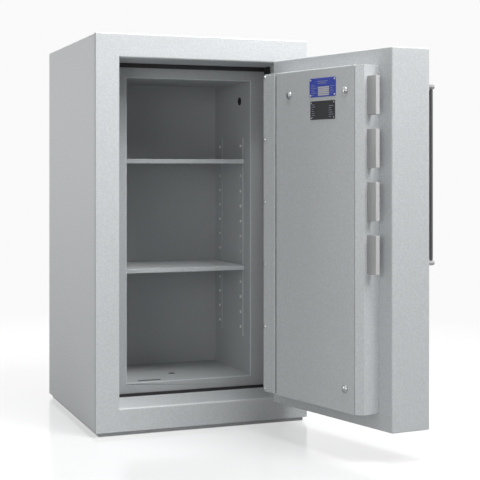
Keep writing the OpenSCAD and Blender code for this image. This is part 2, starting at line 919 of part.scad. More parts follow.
module key_rose() {
    color(steel) hung()
        difference() {
            rod_y(key_x, -5, 0, key_z, 20);
            rod_y(key_x, -6, 1, key_z, key_r + 1);
        }
}

// ---- Pull bar ----

module pull_posts() {
    color(steel) hung()
        for (s = [-1, 1])
            rod_y(pull_x, -pull_stand, 0, bolt_z0 + s * (pull_len / 2 - post_r), post_r);
}

module pull_bar() {
    color(dark) hung()
        block([pull_x - pull_t / 2, -pull_stand, bolt_z0 - pull_len / 2 + 2 * post_r],
              [pull_x + pull_t / 2, -pull_stand + pull_t, bolt_z0 + pull_len / 2 - 2 * post_r]);
}

outer_casing();
back_plate();
base_plate();
plinth();
door_frame();
fill_left();
fill_right();
fill_top();
fill_bottom();
fill_back();
inner_liner();
mouth_flange();
locking_channel();
hinge_seal();
anchor_sleeve();
rail_left(rail_front_y);  // rail_left_front
rail_left(rail_rear_y);  // rail_left_rear
rail_right(rail_front_y);  // rail_right_front
rail_right(rail_rear_y);  // rail_right_rear
shelf(upper_slot);  // shelf_upper
shelf(lower_slot);  // shelf_lower
shelf_clips();
cable_grommet();
frame_knuckles();
hinge_pins();
hinge_washers();
door_skin();
door_fill();
door_back_plate();
door_knuckles();
bolt_box_frame();
bolt_box_lid();
hinge_side_strip();
strip_rivets();
lid_screws();
rating_plate_upper();
rating_plate_lower();
plate_rivets();
pull_posts();
pull_bar();
handle_rose();
spindle_bush();
guide_blocks();
lock_case();
key_rose();
locking_bolts();
bolt_carrier();
bolt_screws();
bolt_rack();
handle_lever();
handle_spindle();
drive_pinion();
lock_cam();
key_core();
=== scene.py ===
import bpy
import json
import math
from mathutils import Matrix, Vector


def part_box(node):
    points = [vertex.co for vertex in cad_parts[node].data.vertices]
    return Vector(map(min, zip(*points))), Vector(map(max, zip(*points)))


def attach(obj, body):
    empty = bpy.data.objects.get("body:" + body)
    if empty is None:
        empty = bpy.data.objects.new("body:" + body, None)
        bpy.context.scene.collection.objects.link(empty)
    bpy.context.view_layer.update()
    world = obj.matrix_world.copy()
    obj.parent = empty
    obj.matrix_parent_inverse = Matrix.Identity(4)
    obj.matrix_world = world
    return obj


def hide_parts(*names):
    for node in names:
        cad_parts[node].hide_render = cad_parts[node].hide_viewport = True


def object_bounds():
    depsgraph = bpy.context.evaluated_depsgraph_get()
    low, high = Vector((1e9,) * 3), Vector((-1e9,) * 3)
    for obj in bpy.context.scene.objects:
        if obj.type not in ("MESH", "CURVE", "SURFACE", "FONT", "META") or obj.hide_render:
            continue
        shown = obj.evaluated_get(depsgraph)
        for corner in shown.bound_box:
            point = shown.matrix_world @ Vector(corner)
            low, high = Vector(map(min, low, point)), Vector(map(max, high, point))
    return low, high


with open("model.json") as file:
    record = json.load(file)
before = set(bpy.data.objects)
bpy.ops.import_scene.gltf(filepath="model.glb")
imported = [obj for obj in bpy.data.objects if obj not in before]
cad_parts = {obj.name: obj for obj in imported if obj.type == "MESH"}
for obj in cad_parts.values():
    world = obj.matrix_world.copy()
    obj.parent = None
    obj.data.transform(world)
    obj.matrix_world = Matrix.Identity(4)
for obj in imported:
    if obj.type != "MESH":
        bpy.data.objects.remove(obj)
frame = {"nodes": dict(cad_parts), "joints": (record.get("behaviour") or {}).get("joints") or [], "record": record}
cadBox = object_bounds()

nodes = frame["nodes"]
record = frame["record"]
nodeSlot = {s["node"]: s["material_slot"] for s in record["subparts"]}
nodeBody = {n: b for b, members in record["behaviour"]["bodies"].items() for n in members}

# the hinge pins give the swing of the open door
doorJoint = next(j for j in frame["joints"] if j["name"] == "door_swing")
pinAt = Vector(doorJoint["pos_m"])
openAngle = math.radians(-doorJoint["range_deg"][0])
swing = Matrix.Translation(pinAt) @ Matrix.Rotation(openAngle, 4, "Z") @ Matrix.Translation(-pinAt)
unswing = swing.inverted()

bpy.context.scene.view_settings.view_transform = "Standard"


# ---------- materials ----------

def newGroup(name, inputs, outputs):
    group = bpy.data.node_groups.new(name, "ShaderNodeTree")
    for label, kind, value in inputs:
        socket = group.interface.new_socket(label, in_out="INPUT", socket_type=kind)
        if value is not None:
            socket.default_value = value
    for label, kind in outputs:
        group.interface.new_socket(label, in_out="OUTPUT", socket_type=kind)
    return group, group.nodes.new("NodeGroupInput"), group.nodes.new("NodeGroupOutput")


def mathNode(tree, operation, a, b=None, clamp=False):
    node = tree.nodes.new("ShaderNodeMath")
    node.operation = operation
    node.use_clamp = clamp
    for i, value in enumerate((a, b)):
        if value is None:
            continue
        if isinstance(value, (int, float)):
            node.inputs[i].default_value = value
        else:
            tree.links.new(value, node.inputs[i])
    return node.outputs[0]


def noiseNode(tree, vector, scale, detail=2.0, roughness=0.5):
    node = tree.nodes.new("ShaderNodeTexNoise")
    node.inputs["Scale"].default_value = scale
    node.inputs["Detail"].default_value = detail
    node.inputs["Roughness"].default_value = roughness
    tree.links.new(vector, node.inputs["Vector"])
    return node.outputs["Fac"]


def rangeNode(tree, value, low, high, toLow, toHigh):
    node = tree.nodes.new("ShaderNodeMapRange")
    tree.links.new(value, node.inputs["Value"])
    for label, number in (("From Min", low), ("From Max", high), ("To Min", toLow), ("To Max", toHigh)):
        node.inputs[label].default_value = number
    return node.outputs["Result"]


def mixNode(tree, factor, a, b, blend="MIX"):
    node = tree.nodes.new("ShaderNodeMix")
    node.data_type = "RGBA"
    node.blend_type = blend
    for socket, value in ((node.inputs["Factor"], factor), (node.inputs[6], a), (node.inputs[7], b)):
        if isinstance(value, (int, float)):
            socket.default_value = value
        elif isinstance(value, tuple):
            socket.default_value = (*value, 1.0)
        else:
            tree.links.new(value, socket)
    return node.outputs[2]


powder = {
    "peelDetail": 3.0,
    "peelRoughness": 0.62,
    "cloudScale": 3.2,
    "speckScale": 210.0,
    "cloudTones": (0.975, 1.02),
    "pebbleTones": (1.03, 0.78),
    "pebbleShare": 0.6,
    "speckTone": 0.92,
    "speckShare": 0.3,
    # tone and reach of the painted edge highlight
    "highlightTone": 1.4,
    "highlightRadius": 0.0025,
    "glossSpread": (-0.06, 0.1),
    "bumpDistance": 0.0012,
}

# grain of a powder coat: orange peel for the bump, soft cloudiness for the colour
grainGroup, groupIn, groupOut = newGroup(
    "powderGrain",
    [("Vector", "NodeSocketVector", None), ("Peel Scale", "NodeSocketFloat", 190.0)],
    [("Height", "NodeSocketFloat"), ("Cloud", "NodeSocketFloat"), ("Speck", "NodeSocketFloat")])
peel = grainGroup.nodes.new("ShaderNodeTexNoise")
peel.inputs["Detail"].default_value = powder["peelDetail"]
peel.inputs["Roughness"].default_value = powder["peelRoughness"]
grainGroup.links.new(groupIn.outputs["Vector"], peel.inputs["Vector"])
grainGroup.links.new(groupIn.outputs["Peel Scale"], peel.inputs["Scale"])
grainGroup.links.new(peel.outputs["Fac"], groupOut.inputs["Height"])
grainGroup.links.new(noiseNode(grainGroup, groupIn.outputs["Vector"], powder["cloudScale"], 3.0),
                     groupOut.inputs["Cloud"])
grainGroup.links.new(noiseNode(grainGroup, groupIn.outputs["Vector"], powder["speckScale"], 2.0, 0.7),
                     groupOut.inputs["Speck"])

# samples, strength and patchiness of the painted edge highlight
edgeHighlight = {"samples": 3, "gain": 4.0, "patchScale": 60.0, "patchLeast": 0.25}

# where two faces meet, the colour is painted brighter in uneven patches: a painted highlight along the edges
edgeGroup, groupIn, groupOut = newGroup(
    "paintedEdgeHighlight",
    [("Radius", "NodeSocketFloat", 0.003), ("Vector", "NodeSocketVector", None)],
    [("Mask", "NodeSocketFloat")])
roundNormal = edgeGroup.nodes.new("ShaderNodeBevel")
roundNormal.samples = edgeHighlight["samples"]
edgeGroup.links.new(groupIn.outputs["Radius"], roundNormal.inputs["Radius"])
geometry = edgeGroup.nodes.new("ShaderNodeNewGeometry")
facing = edgeGroup.nodes.new("ShaderNodeVectorMath")
facing.operation = "DOT_PRODUCT"
edgeGroup.links.new(roundNormal.outputs["Normal"], facing.inputs[0])
edgeGroup.links.new(geometry.outputs["True Normal"], facing.inputs[1])
turned = mathNode(edgeGroup, "SUBTRACT", 1.0, facing.outputs["Value"])
patches = noiseNode(edgeGroup, groupIn.outputs["Vector"], edgeHighlight["patchScale"], 4.0, 0.7)
patchy = rangeNode(edgeGroup, patches, 0.35, 0.65, edgeHighlight["patchLeast"], 1.0)
turned = mathNode(edgeGroup, "MULTIPLY", turned, edgeHighlight["gain"], True)
edgeGroup.links.new(mathNode(edgeGroup, "MULTIPLY", turned, patchy), groupOut.inputs["Mask"])

# fine lines of brushed or ground metal, stretched along one axis
brushGroup, groupIn, groupOut = newGroup(
    "brushLines",
    [("Vector", "NodeSocketVector", None), ("Stretch", "NodeSocketVector", (30.0, 30.0, 900.0))],
    [("Lines", "NodeSocketFloat"), ("Smudge", "NodeSocketFloat")])
stretched = brushGroup.nodes.new("ShaderNodeVectorMath")
stretched.operation = "MULTIPLY"
brushGroup.links.new(groupIn.outputs["Vector"], stretched.inputs[0])
brushGroup.links.new(groupIn.outputs["Stretch"], stretched.inputs[1])
brushGroup.links.new(noiseNode(brushGroup, stretched.outputs["Vector"], 1.0, 4.0, 0.65), groupOut.inputs["Lines"])
brushGroup.links.new(noiseNode(brushGroup, groupIn.outputs["Vector"], 14.0, 3.0), groupOut.inputs["Smudge"])


def startMaterial(name, color, roughness, metallic=0.0, **shaderValues):
    material = bpy.data.materials.new(name)
    material.use_nodes = True
    tree = material.node_tree
    shader = next(n for n in tree.nodes if n.type == "BSDF_PRINCIPLED")
    shader.inputs["Base Color"].default_value = (*color, 1.0)
    shader.inputs["Roughness"].default_value = roughness
    shader.inputs["Metallic"].default_value = metallic
    for label, value in shaderValues.items():
        shader.inputs[label.replace("_", " ")].default_value = value
    place = tree.nodes.new("ShaderNodeTexCoord")
    return material, tree, shader, place.outputs["Object"]


def addGroup(tree, group, vector, **values):
    node = tree.nodes.new("ShaderNodeGroup")
    node.node_tree = group
    tree.links.new(vector, node.inputs["Vector"])
    for label, value in values.items():
        node.inputs[label.replace("_", " ")].default_value = value
    return node


def addBump(tree, shader, height, strength, distance):
    bump = tree.nodes.new("ShaderNodeBump")
    bump.inputs["Strength"].default_value = strength
    bump.inputs["Distance"].default_value = distance
    tree.links.new(height, bump.inputs["Height"])
    tree.links.new(bump.outputs["Normal"], shader.inputs["Normal"])


def shade(color, factor):
    return tuple(min(1.0, c * factor) for c in color)


def powderCoat(name, color, roughness=0.42, peelScale=190.0, bump=0.5, highlightShare=0.9):
    material, tree, shader, place = startMaterial(name, color, roughness, Specular_IOR_Level=0.45)
    grain = addGroup(tree, grainGroup, place, Peel_Scale=peelScale)
    edge = addGroup(tree, edgeGroup, place, Radius=powder["highlightRadius"])
    cloud = rangeNode(tree, grain.outputs["Cloud"], 0.3, 0.7, 0.0, 1.0)
    speck = rangeNode(tree, grain.outputs["Speck"], 0.35, 0.65, 0.0, 1.0)
    base = mixNode(tree, cloud, *(shade(color, tone) for tone in powder["cloudTones"]))
    light, dark = (shade(color, tone) for tone in powder["pebbleTones"])
    pebble = rangeNode(tree, grain.outputs["Height"], 0.42, 0.58, 0.0, powder["pebbleShare"])
    pebbled = mixNode(tree, pebble, light, mixNode(tree, powder["pebbleShare"], base, dark))
    spotted = mixNode(tree, mathNode(tree, "MULTIPLY", speck, powder["speckShare"]), pebbled,
                      shade(color, powder["speckTone"]))
    # the edges are painted lighter: a painted highlight
    highlighted = mixNode(tree, mathNode(tree, "MULTIPLY", edge.outputs["Mask"], highlightShare), spotted,
                     shade(color, powder["highlightTone"]))
    tree.links.new(highlighted, shader.inputs["Base Color"])
    gloss = (roughness + spread for spread in powder["glossSpread"])
    tree.links.new(rangeNode(tree, grain.outputs["Height"], 0.3, 0.7, *gloss), shader.inputs["Roughness"])
    addBump(tree, shader, grain.outputs["Height"], bump, powder["bumpDistance"])
    return material


# for metals: the tones of the lines, and the tone, reach and share of the painted edge highlight
brushed = {"highlightRadius": 0.0012, "lineTones": (0.86, 1.08), "highlightTone": 1.25, "highlightShare": 0.5,
           "bumpDistance": 0.0002}


def metal(name, color, roughness, stretch=(30.0, 30.0, 900.0), bump=0.12, smudge=0.08, metallic=1.0):
    material, tree, shader, place = startMaterial(name, color, roughness, metallic)
    brush = addGroup(tree, brushGroup, place, Stretch=stretch)
    edge = addGroup(tree, edgeGroup, place, Radius=brushed["highlightRadius"])
    lines = rangeNode(tree, brush.outputs["Lines"], 0.3, 0.7, 0.0, 1.0)
    toned = mixNode(tree, lines, *(shade(color, tone) for tone in brushed["lineTones"]))
    # the edges are painted lighter: a painted highlight
    highlighted = mixNode(tree, mathNode(tree, "MULTIPLY", edge.outputs["Mask"], brushed["highlightShare"]), toned,
                     shade(color, brushed["highlightTone"]))
    tree.links.new(highlighted, shader.inputs["Base Color"])
    dull = rangeNode(tree, brush.outputs["Smudge"], 0.35, 0.65, roughness - smudge, roughness + smudge)
    tree.links.new(dull, shader.inputs["Roughness"])
    addBump(tree, shader, brush.outputs["Lines"], bump, brushed["bumpDistance"])
    return material


concrete = {"coarseScale": 22.0, "fineScale": 260.0, "tones": (0.78, 1.1), "pitTone": 0.45, "pitShare": 0.7,
            "bumpDistance": 0.001}


def castConcrete(name, color):
    material, tree, shader, place = startMaterial(name, color, 0.9)
    coarse = noiseNode(tree, place, concrete["coarseScale"], 6.0, 0.65)
    fine = noiseNode(tree, place, concrete["fineScale"], 4.0, 0.7)
    mixed = mixNode(tree, rangeNode(tree, coarse, 0.3, 0.7, 0.0, 1.0),
                    *(shade(color, tone) for tone in concrete["tones"]))
    pitted = mixNode(tree, rangeNode(tree, fine, 0.62, 0.7, 0.0, concrete["pitShare"]), mixed,
                     shade(color, concrete["pitTone"]))
    tree.links.new(pitted, shader.inputs["Base Color"])
    addBump(tree, shader, fine, 0.5, concrete["bumpDistance"])
    return material


dust = {"scale": 35.0, "color": (0.09, 0.09, 0.088), "share": 0.35}


def rubber(name, color):
    material, tree, shader, place = startMaterial(name, color, 0.75, Specular_IOR_Level=0.3)
    dusty = rangeNode(tree, noiseNode(tree, place, dust["scale"], 5.0, 0.7), 0.45, 0.75, 0.0, dust["share"])
    tree.links.new(mixNode(tree, dusty, color, dust["color"]), shader.inputs["Base Color"])
    grain = noiseNode(tree, place, 900.0, 2.0)
    tree.links.new(rangeNode(tree, grain, 0.3, 0.7, 0.66, 0.85), shader.inputs["Roughness"])
    addBump(tree, shader, grain, 0.2, 0.0002)
    return material


def chrome(name, color):
    material, tree, shader, place = startMaterial(name, color, 0.08, 1.0)
    haze = noiseNode(tree, place, 120.0, 4.0, 0.6)
    tree.links.new(rangeNode(tree, haze, 0.35, 0.7, 0.05, 0.16), shader.inputs["Roughness"])
    tree.links.new(mixNode(tree, rangeNode(tree, haze, 0.4, 0.8, 0.0, 0.5), color, shade(color, 0.8)),
                   shader.inputs["Base Color"])
    return material


printed = {"grainScale": 700.0, "wearScale": 60.0, "tones": (0.92, 1.06), "scuffTone": 1.3, "scuffShare": 0.35}


def printedPlate(name, color, roughness=0.5, coat=0.04):
    material, tree, shader, place = startMaterial(name, color, roughness, Coat_Weight=coat,
                                                  Specular_IOR_Level=0.25)
    grain = noiseNode(tree, place, printed["grainScale"], 3.0)
    worn = noiseNode(tree, place, printed["wearScale"], 4.0, 0.7)
    toned = mixNode(tree, rangeNode(tree, grain, 0.3, 0.7, 0.0, 1.0),
                    *(shade(color, tone) for tone in printed["tones"]))
    scuffed = mixNode(tree, rangeNode(tree, worn, 0.6, 0.75, 0.0, printed["scuffShare"]), toned,
                      shade(color, printed["scuffTone"]))
    tree.links.new(scuffed, shader.inputs["Base Color"])
    tree.links.new(rangeNode(tree, grain, 0.3, 0.7, roughness - 0.05, roughness + 0.08),
                   shader.inputs["Roughness"])
    addBump(tree, shader, grain, 0.08, 0.0001)
    return material


paintColor = (0.592, 0.613, 0.625)
materials = {
    "grey_paint": powderCoat("greyPaint", paintColor),
    # a darker copy of the grey paint for the cavity's inside: painted shade
    "shaded_liner_paint": powderCoat("shadedLinerPaint", shade(paintColor, 0.84), 0.48, 300.0, 0.2, 0.7),
    # a lighter copy of the grey paint for the mouth rim: a painted highlight
    "lit_rim_paint": powderCoat("litRimPaint", shade(paintColor, 1.1), 0.4, 300.0, 0.1, 0.3),
    # a darker copy of the grey paint for the set-back flange: painted shade
    "shaded_flange_paint": powderCoat("shadedFlangePaint", shade(paintColor, 0.7), 0.5, 300.0, 0.1, 0.1),
    # a darker copy of the grey paint for the plinth: painted shade under the front
    "shaded_plinth_paint": powderCoat("shadedPlinthPaint", shade(paintColor, 0.8), 0.5, 260.0, 0.2, 0.1),
    "black_paint": powderCoat("blackPaint", (0.05, 0.05, 0.052), 0.5, 500.0, 0.2, 0.1),
    "barrier_concrete": castConcrete("barrierConcrete", (0.42, 0.41, 0.38)),
    "black_rubber": rubber("blackRubber", (0.022, 0.022, 0.023)),
    "bright_steel": metal("brightSteel", (0.56, 0.57, 0.58), 0.3, (400.0, 400.0, 60.0)),
    "bolt_steel": metal("boltSteel", (0.41, 0.412, 0.414), 0.5, (900.0, 900.0, 25.0), 0.05, 0.06, 0.3),
    # a brighter copy of the bolt steel for the tip faces: a painted highlight
    "bolt_tip": metal("litBoltTip", (0.60, 0.60, 0.598), 0.46, (900.0, 900.0, 25.0), 0.04, 0.06, 0.3),
    "chrome_screws": chrome("chromeScrews", (0.50, 0.51, 0.52)),
    "rivet_chrome": chrome("rivetChrome", (0.62, 0.63, 0.64)),
    "brass_parts": metal("brassParts", (0.66, 0.47, 0.18), 0.33, (300.0, 300.0, 80.0)),
    "blue_plate": printedPlate("bluePlate", (0.042, 0.075, 0.46)),
    "dark_plate": printedPlate("darkPlate", (0.026, 0.027, 0.029)),
    "dark_bar": powderCoat("darkBar", (0.15, 0.152, 0.154), 0.38, 700.0, 0.1, 0.5),
    "plate_field": printedPlate("plateField", (0.60, 0.60, 0.57), 0.5, 0.02),
    # light steel for the slot linings and the plate rivets; on the linings it is partly a painted highlight
    "slot_steel": metal("slotSteel", (0.78, 0.78, 0.77), 0.5, (300.0, 300.0, 60.0), 0.05, 0.05, 0.2),
    "plate_marks": printedPlate("plateMarks", (0.30, 0.32, 0.42), 0.5, 0.02),
}
# the rails inside the cabinet, and which way along X each one faces
railNodes = {"rail_left_front": 1, "rail_left_rear": 1, "rail_right_front": -1, "rail_right_rear": -1}
insideNodes = ("inner_liner", "mouth_flange", *railNodes)
print("materials made")


def paintWith(obj, name):
    obj.data.materials.clear()
    obj.data.materials.append(materials[name])


# the inside nodes take the darker liner paint, painted shade for the cavity; the rest take their slot's finish
for name, obj in nodes.items():
    paintWith(obj, "shaded_liner_paint" if name in insideNodes else nodeSlot[name])


# ---------- modelling helpers ----------

def deselectAll():
    if bpy.context.object and bpy.context.object.mode != "OBJECT":
        bpy.ops.object.mode_set(mode="OBJECT")
    bpy.ops.object.select_all(action="DESELECT")


def makeActive(obj):
    deselectAll()
    obj.select_set(True)
    bpy.context.view_layer.objects.active = obj


def startSelecting(obj, kind):
    makeActive(obj)
    bpy.ops.object.mode_set(mode="EDIT")
    bpy.ops.mesh.select_mode(type=kind)
    bpy.ops.mesh.select_all(action="DESELECT")
    bpy.ops.object.mode_set(mode="OBJECT")


# moves the faces that pass the test, which gets a face's centre and normal
def slideFaces(obj, test, step):
    startSelecting(obj, "FACE")
    for polygon in obj.data.polygons:
        polygon.select = test(polygon.center, polygon.normal)
    bpy.ops.object.mode_set(mode="EDIT")
    bpy.ops.transform.translate(value=step)
    bpy.ops.object.mode_set(mode="OBJECT")


# selects the edges whose two ends pass the test
def selectEdges(obj, test):
    startSelecting(obj, "EDGE")
    points = obj.data.vertices
    for edge in obj.data.edges:
        edge.select = test(*(points[i].co for i in edge.vertices))
    bpy.ops.object.mode_set(mode="EDIT")


def bevelEdges(obj, test, width, segments):
    selectEdges(obj, test)
    bpy.ops.mesh.bevel(offset=width, segments=segments, affect="EDGES")
    bpy.ops.object.mode_set(mode="OBJECT")


def boxPiece(name, low, high):
    deselectAll()
    low, high = Vector(low), Vector(high)
    bpy.ops.mesh.primitive_cube_add(size=1.0, location=(low + high) / 2)
    obj = bpy.context.object
    obj.name = name
    obj.scale = high - low
    bpy.ops.object.transform_apply(location=True, rotation=True, scale=True)
    return obj


# a round bar or disc whose axis runs along Y
def discPiece(name, centre, radius, thickness, sides=48):
    deselectAll()
    bpy.ops.mesh.primitive_cylinder_add(vertices=sides, radius=radius, depth=thickness,
                                        location=centre, rotation=(math.pi / 2, 0, 0))
    obj = bpy.context.object
    obj.name = name
    bpy.ops.object.transform_apply(location=True, rotation=True, scale=True)
    return obj


def roundEdges(obj, width, segments=3, angle=30.0):
    makeActive(obj)
    bevel = obj.modifiers.new("roundEdges", "BEVEL")
    bevel.width = width
    bevel.segments = segments
    bevel.limit_method = "ANGLE"
    bevel.angle_limit = math.radians(angle)
    bevel.miter_outer = "MITER_ARC"
    bpy.ops.object.modifier_apply(modifier=bevel.name)


def smoothFaces(obj, angle=40.0):
    makeActive(obj)
    bpy.ops.object.shade_smooth_by_angle(angle=math.radians(angle))
    weights = obj.modifiers.new("evenNormals", "WEIGHTED_NORMAL")
    weights.keep_sharp = True
    weights.weight = 80
    bpy.ops.object.modifier_apply(modifier=weights.name)


def joinPieces(name, pieces):
    deselectAll()
    for piece in pieces:
        piece.select_set(True)
    bpy.context.view_layer.objects.active = pieces[0]
    if len(pieces) > 1:
        bpy.ops.object.join()
    pieces[0].name = name
    return pieces[0]


# drawn closed, then swung open with the door
def hangOnDoor(obj):
    obj.data.transform(swing)
    obj.data.update()


def limitsOf(points):
    low = Vector(min(p[i] for p in points) for i in range(3))
    high = Vector(max(p[i] for p in points) for i in range(3))
    return low, high


# a door node's box as it is with the door closed
def closedBox(node):
    return limitsOf([unswing @ v.co for v in nodes[node].data.vertices])


def finishPiece(obj, body, slot, look=None, stands=()):
    paintWith(obj, look or slot)
    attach(obj, body)
    if stands:
        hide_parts(*stands)


merge = {"reach": 0.00002, "flat": math.radians(1.0)}


# a copy of a node with its own mesh, left in edit mode
def bareCopy(node):
    source = nodes[node]
    obj = source.copy()
    obj.data = source.data.copy()
    for key in list(obj.keys()):
        del obj[key]
    bpy.context.scene.collection.objects.link(obj)
    obj.parent = None
    obj.matrix_world = Matrix.Identity(4)
    makeActive(obj)
    bpy.ops.object.mode_set(mode="EDIT")
    bpy.ops.mesh.select_all(action="SELECT")
    bpy.ops.mesh.remove_doubles(threshold=merge["reach"])
    return obj


# a node's own shape as a new piece, merged into clean faces
def copyNode(node, name):
    obj = bareCopy(node)
    obj.name = name
    bpy.ops.mesh.dissolve_limited(angle_limit=merge["flat"])
    bpy.ops.mesh.normals_make_consistent(inside=False)
    bpy.ops.object.mode_set(mode="OBJECT")
    return obj


# the node's shape with its sharp edges broken
def softenNode(node, width, segments=3, angle=30.0, look=None):
    obj = copyNode(node, node + "_soft")
    roundEdges(obj, width, segments, angle)
    smoothFaces(obj)
    finishPiece(obj, nodeBody[node], nodeSlot[node], look, (node,))
    return obj


# ---------- cabinet ----------

cabinet = {
    "foldRadius": 0.0032,
    "frameEdge": 0.0018,
    "mouthEdge": 0.0068,
    "topEdge": 0.0042,
    "frameWidth": 0.06,
    "plateDepth": 0.005,
    "flangeDepth": 0.0115,
    "flangeInset": 0.0009,
    "flangeThickness": 0.002,
    "flangeTuck": (0.001, 0.004),
    "flangeEdge": 0.0004,
    "segments": 3,
}
# how close a face or point has to be, and how squarely a face has to look, to be picked
near = {"face": 0.001, "point": 0.0005, "square": 0.9}
plateLow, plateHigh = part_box("door_frame")
caseLow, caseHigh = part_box("outer_casing")


def onFront(*points):
    return all(p.y < caseLow[1] + near["point"] for p in points)


def inMouth(a, b):
    margin = cabinet["frameWidth"]
    return (all(caseLow[0] + margin < p.x < caseHigh[0] - margin for p in (a, b))
            and caseLow[2] + margin < (a.z + b.z) / 2 < caseHigh[2] - margin)


# the front plate reaches over the casing's edge
def makeFrontPlate():
    front = copyNode("door_frame", "frontPlate")
    for side, edge, reach in ((-1, plateLow[0], caseLow[0]), (1, plateHigh[0], caseHigh[0])):
        slideFaces(front, lambda c, n: n.x * side > near["square"] and abs(c.x - edge) < near["face"],
                   (reach - edge, 0, 0))
    slideFaces(front, lambda c, n: n.z > near["square"] and c.z > plateHigh[2] - near["face"],
               (0, 0, caseHigh[2] - plateHigh[2]))
    bevelEdges(front, lambda a, b: onFront(a, b) and inMouth(a, b), cabinet["mouthEdge"], 6)
    bevelEdges(front, lambda a, b: onFront(a, b) and min(a.z, b.z) > caseHigh[2] - near["point"],
               cabinet["topEdge"], 5)
    roundEdges(front, cabinet["frameEdge"], cabinet["segments"], 50.0)
    smoothFaces(front)
    finishPiece(front, "cabinet", "grey_paint", stands=("door_frame",))


def makeCasing():
    casing = copyNode("outer_casing", "casing")
    slideFaces(casing, lambda c, n: n.y < -near["square"] and c.y < caseLow[1] + near["face"],
               (0, cabinet["plateDepth"] + cabinet["flangeDepth"], 0))
    roundEdges(casing, cabinet["foldRadius"], cabinet["segments"])
    smoothFaces(casing)
    finishPiece(casing, "cabinet", "grey_paint", stands=("outer_casing",))


# the set-back flange between the front plate and the casing, tucked a little under both, in a darker copy of the grey
# paint: painted shade in the recessed band
def makeFlange():
    inset, thick = cabinet["flangeInset"], cabinet["flangeThickness"]
    tuckFront, tuckBack = cabinet["flangeTuck"]
    front = caseLow[1] + cabinet["plateDepth"] - tuckFront
    back = caseLow[1] + cabinet["plateDepth"] + cabinet["flangeDepth"] + tuckBack
    left, right, top = caseLow[0] + inset, caseHigh[0] - inset, caseHigh[2] - inset
    flange = joinPieces("frameFlange", [
        boxPiece("flange", (left, front, caseLow[2] + inset), (left + thick, back, top)),
        boxPiece("flange", (right - thick, front, caseLow[2] + inset), (right, back, top)),
        boxPiece("flange", (left, front, top - thick), (right, back, top))])
    roundEdges(flange, cabinet["flangeEdge"], 2)
    finishPiece(flange, "cabinet", "grey_paint", "shaded_flange_paint")


makeFrontPlate()
makeCasing()
makeFlange()

# edge width, segments, and the look where it isn't the slot's own
shellEdges = {
    "back_plate": (0.0015, 2, None),
    "base_plate": (0.001, 2, None),
    # the mouth flange takes the darker liner paint: painted shade
    "mouth_flange": (0.0022, 3, "shaded_liner_paint"),
    # the plinth takes a darker copy of the grey paint: painted shade
    "plinth": (0.0015, 2, "shaded_plinth_paint"),
    "hinge_seal": (0.002, 3, None),
}
for name, (width, segments, look) in shellEdges.items():
    softenNode(name, width, segments, look=look)
print("cabinet shells made")

linerWall = 0.002
rim = {"radius": 0.0022, "inset": 0.0006, "proud": 0.0004, "segments": 4, "smoothAngle": 40.0}


# a rolled bead round the mouth of the cavity, in a lighter copy of the grey paint: a painted highlight along the bead
def makeMouthRim():
    low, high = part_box("inner_liner")
    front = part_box("mouth_flange")[0][1]
    wall = linerWall + rim["inset"]
    deselectAll()
    bpy.ops.mesh.primitive_plane_add(size=1.0, rotation=(math.pi / 2, 0, 0))
    bead = bpy.context.object
    bead.name = "mouthRim"
    bead.scale = (high[0] - low[0] - 2 * wall, high[2] - low[2] - 2 * wall, 1.0)
    bead.location = ((low[0] + high[0]) / 2, front + rim["radius"] - rim["proud"], (low[2] + high[2]) / 2)
    bpy.ops.object.transform_apply(location=True, rotation=True, scale=True)
    bpy.ops.object.mode_set(mode="EDIT")
    bpy.ops.mesh.select_all(action="SELECT")
    bpy.ops.mesh.delete(type="ONLY_FACE")
    bpy.ops.object.mode_set(mode="OBJECT")
    bpy.ops.object.convert(target="CURVE")
    bead = bpy.context.object
    bead.data.bevel_depth = rim["radius"]
    bead.data.bevel_resolution = rim["segments"]
    bpy.ops.object.convert(target="MESH")
    bead = bpy.context.object
    makeActive(bead)
    bpy.ops.object.shade_smooth_by_angle(angle=math.radians(rim["smoothAngle"]))
    finishPiece(bead, "cabinet", "grey_paint", "lit_rim_paint")


makeMouthRim()

shelves = {"foldRadius": 0.0007, "railEdge": 0.0005, "clipEdge": 0.0006}
for name in ("shelf_upper", "shelf_lower"):
    softenNode(name, shelves["foldRadius"], 2)
# the rails take the darker liner paint: painted shade inside the cavity
for name in railNodes:
    softenNode(name, shelves["railEdge"], 1, look="shaded_liner_paint")
softenNode("shelf_clips", shelves["clipEdge"], 2)

railSlots = {
    "count": 13,
    "firstUp": 0.029,
    "pitch": 0.0505,
    "width": 0.0074,
    "height": 0.0095,
    "depth": 0.0004,
    "tabReach": 0.0026,
    "tabThick": 0.0012,
    "tabShare": 0.9,
    "shelfReach": 0.018,
    "edge": 0.00015,
}
shelfLevels = [sum(corner[2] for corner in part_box(name)) / 2 for name in ("shelf_upper", "shelf_lower")]


